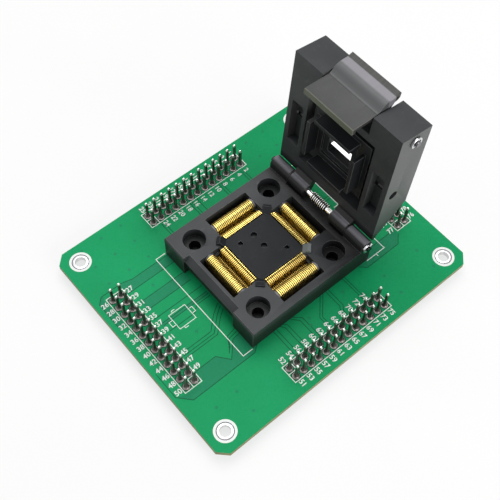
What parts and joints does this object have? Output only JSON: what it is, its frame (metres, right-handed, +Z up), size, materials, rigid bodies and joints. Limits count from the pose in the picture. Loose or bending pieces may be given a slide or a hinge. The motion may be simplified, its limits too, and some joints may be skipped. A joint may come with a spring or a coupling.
{
  "type": "zif socket",
  "caption": "Open clamshell test socket for a fine-pitch quad flat package, hinged lid with hook latch and pressure plate, on a green adapter board with pin headers.",
  "frame": {"origin": "middle of the board, on the plane that the four header strips stand on", "axes": "+X from the latch side to the hinge side, +Y across, +Z up, square to the board"},
  "size_m": [0.085, 0.07, 0.0541],
  "materials": {
    "board": "green solder mask, satin gloss, with white print",
    "strip": "black moulded plastic",
    "pins": "tin-plated pins",
    "housing": "black glass-filled plastic, fine matt grain",
    "guide": "black moulded plastic",
    "gold": "gold-plated spring contacts",
    "lever": "dark grey moulded plastic with a soft sheen",
    "steel": "bright steel"
  },
  "bodies": {
    "board_and_base": {"circuit_board": "board", "header_strip_front": "strip", "header_strip_rear": "strip", "header_strip_left": "strip", "header_strip_right": "strip", "header_pins_front": "pins", "header_pins_rear": "pins", "header_pins_left": "pins", "header_pins_right": "pins", "base_housing": "housing", "tail_guide_plate": "guide", "seating_plate": "housing", "contacts_front": "gold", "contacts_rear": "gold", "contacts_left": "gold", "contacts_right": "gold", "hinge_pin": "steel", "hinge_pin_clip": "steel", "hinge_spring": "steel"},
    "lid": {"lid_frame": "housing", "pressure_plate_pin": "steel", "pressure_springs": "steel", "latch_pin": "steel", "latch_pin_clip": "steel", "latch_spring": "steel"},
    "pressure_plate": {"pressure_plate": "housing"},
    "latch_lever": {"latch_lever": "lever"}
  },
  "joints": [
    {"name": "lid_hinge", "type": "hinge", "parent": "board_and_base", "child": "lid", "pos_m": [0.0194, 0, 0.01274], "axis": [0, 1, 0], "range_deg": [-93.8, 0], "stiffness_Nm_per_rad": 0.006, "springref_deg": 34.38, "deforming": ["hinge_spring"]},
    {"name": "latch_pivot", "type": "hinge", "parent": "lid", "child": "latch_lever", "pos_m": [0.02804, 0, 0.04925], "axis": [0, 1, 0], "range_deg": [-4, 2.5], "deforming": ["latch_spring"]},
    {"name": "pressure_plate_tilt", "type": "hinge", "parent": "lid", "child": "pressure_plate", "pos_m": [0.0251, 0, 0.0307], "axis": [0, 1, 0], "range_deg": [-1.5, 1.5], "stiffness_Nm_per_rad": 0.02, "deforming": ["pressure_springs"]}
  ]
}
